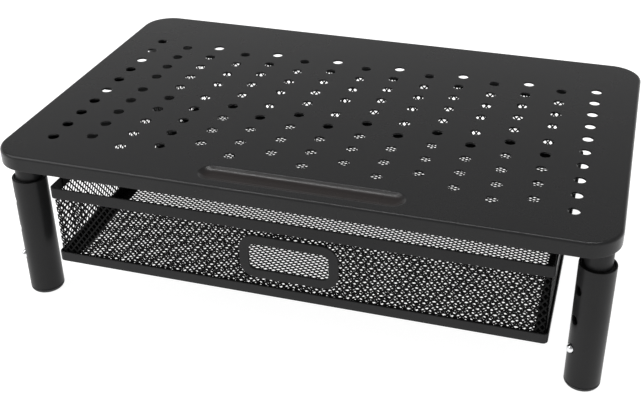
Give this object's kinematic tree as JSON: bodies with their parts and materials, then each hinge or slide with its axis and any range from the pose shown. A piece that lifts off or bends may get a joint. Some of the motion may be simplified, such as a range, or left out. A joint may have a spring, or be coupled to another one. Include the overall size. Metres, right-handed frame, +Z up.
{
  "type": "monitor riser stand",
  "caption": "Vented sheet steel riser on four telescopic round legs with snap-button height steps, with a sliding mesh drawer and a pen tray.",
  "frame": {"origin": "on the desk surface, under the middle of the top plate, with the legs at their shortest", "axes": "+X to the user's right along the plate's long side, -Y towards the user and the drawer's handle, +Z up"},
  "size_m": [0.3701, 0.235, 0.1085],
  "materials": {
    "plate_coat": "satin black powder coat",
    "frame_coat": "satin black powder coat",
    "leg_coat": "smooth satin black coat",
    "mesh_coat": "satin black powder coat on drawn diamond mesh",
    "black_plastic": "fine matt",
    "bright_steel": "polished zinc-plated"
  },
  "bodies": {
    "frame": {"top_plate": "plate_coat", "leg_boss_front_left": "frame_coat", "inner_post_front_left": "frame_coat", "snap_spring_front_left": "bright_steel", "leg_boss_front_right": "frame_coat", "inner_post_front_right": "frame_coat", "snap_spring_front_right": "bright_steel", "leg_boss_rear_left": "frame_coat", "inner_post_rear_left": "frame_coat", "snap_spring_rear_left": "bright_steel", "leg_boss_rear_right": "frame_coat", "inner_post_rear_right": "frame_coat", "snap_spring_rear_right": "bright_steel", "drawer_rail_left": "frame_coat", "drawer_stop_left": "black_plastic", "leg_bracket_left": "frame_coat", "drawer_rail_right": "frame_coat", "drawer_stop_right": "black_plastic", "leg_bracket_right": "frame_coat"},
    "drawer": {"drawer_rim": "frame_coat", "drawer_base_frame": "frame_coat", "drawer_base_flange": "frame_coat", "drawer_mesh_floor": "mesh_coat", "drawer_mesh_front": "mesh_coat", "drawer_mesh_back": "mesh_coat", "drawer_mesh_left": "mesh_coat", "drawer_mesh_right": "mesh_coat", "drawer_handle": "frame_coat", "drawer_runner_left": "frame_coat", "drawer_runner_right": "frame_coat"},
    "leg_front_left": {"outer_tube_front_left": "leg_coat", "guide_bush_front_left": "black_plastic", "foot_cap_front_left": "black_plastic"},
    "leg_front_right": {"outer_tube_front_right": "leg_coat", "guide_bush_front_right": "black_plastic", "foot_cap_front_right": "black_plastic"},
    "leg_rear_left": {"outer_tube_rear_left": "leg_coat", "guide_bush_rear_left": "black_plastic", "foot_cap_rear_left": "black_plastic"},
    "leg_rear_right": {"outer_tube_rear_right": "leg_coat", "guide_bush_rear_right": "black_plastic", "foot_cap_rear_right": "black_plastic"},
    "button_front_left": {"snap_button_front_left": "bright_steel"},
    "button_front_right": {"snap_button_front_right": "bright_steel"},
    "button_rear_left": {"snap_button_rear_left": "bright_steel"},
    "button_rear_right": {"snap_button_rear_right": "bright_steel"}
  },
  "joints": [
    {"name": "drawer_slide", "type": "slide", "parent": "frame", "child": "drawer", "axis": [0, -1, 0], "range_m": [0, 0.15]},
    {"name": "leg_front_left_height", "type": "slide", "parent": "frame", "child": "leg_front_left", "axis": [0, 0, -1], "range_m": [0, 0.04], "deforming": ["snap_button_front_left"]},
    {"name": "leg_front_right_height", "type": "slide", "parent": "frame", "child": "leg_front_right", "axis": [0, 0, -1], "range_m": [0, 0.04], "deforming": ["snap_button_front_right"]},
    {"name": "leg_rear_left_height", "type": "slide", "parent": "frame", "child": "leg_rear_left", "axis": [0, 0, -1], "range_m": [0, 0.04], "deforming": ["snap_button_rear_left"]},
    {"name": "leg_rear_right_height", "type": "slide", "parent": "frame", "child": "leg_rear_right", "axis": [0, 0, -1], "range_m": [0, 0.04], "deforming": ["snap_button_rear_right"]},
    {"name": "button_front_left_press", "type": "slide", "parent": "frame", "child": "button_front_left", "axis": [0.8192, 0.5736, 0], "range_m": [0, 0.0042], "stiffness_N_per_m": 300, "springref_m": -0.003, "deforming": ["snap_spring_front_left"]},
    {"name": "button_front_right_press", "type": "slide", "parent": "frame", "child": "button_front_right", "axis": [0.8192, 0.5736, 0], "range_m": [0, 0.0042], "stiffness_N_per_m": 300, "springref_m": -0.003, "deforming": ["snap_spring_front_right"]},
    {"name": "button_rear_left_press", "type": "slide", "parent": "frame", "child": "button_rear_left", "axis": [0.8192, 0.5736, 0], "range_m": [0, 0.0042], "stiffness_N_per_m": 300, "springref_m": -0.003, "deforming": ["snap_spring_rear_left"]},
    {"name": "button_rear_right_press", "type": "slide", "parent": "frame", "child": "button_rear_right", "axis": [0.8192, 0.5736, 0], "range_m": [0, 0.0042], "stiffness_N_per_m": 300, "springref_m": -0.003, "deforming": ["snap_spring_rear_right"]}
  ]
}
